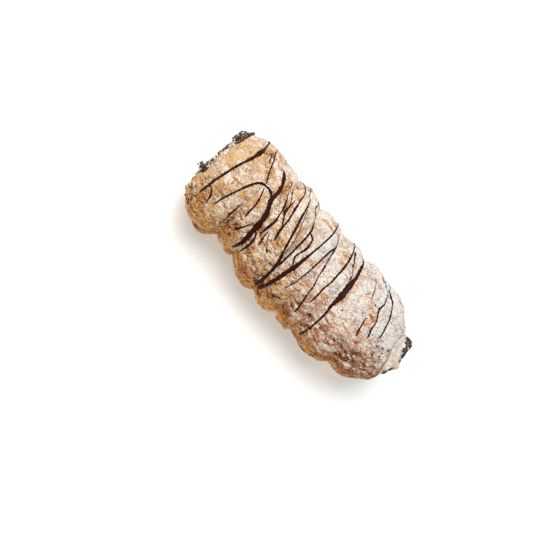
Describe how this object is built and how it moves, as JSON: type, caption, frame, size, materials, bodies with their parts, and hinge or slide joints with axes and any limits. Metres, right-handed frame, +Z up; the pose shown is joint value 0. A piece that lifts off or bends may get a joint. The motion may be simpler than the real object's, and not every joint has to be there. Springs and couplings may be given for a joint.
{
  "type": "cream-filled puff pastry roll",
  "caption": "Tapering roll of wound puff pastry filled with cream, its ends dipped in dark crumbs, dusted with sugar and drizzled with chocolate.",
  "frame": {"origin": "on the surface it lies on, under the middle of its bounding box", "axes": "+X along the roll from its wide end to its narrow end, +Z up, -Y towards the side shown"},
  "size_m": [0.1293, 0.0516, 0.0503],
  "materials": {
    "crust": "baked golden crust under a dusting of fine sugar, rough",
    "cream": "soft satin cream",
    "chocolate": "set dark chocolate, satin",
    "crumbs": "dry dark biscuit crumbs, matt"
  },
  "bodies": {
    "root": {"pastry": "crust", "cream": "cream"}
  },
  "joints": []
}
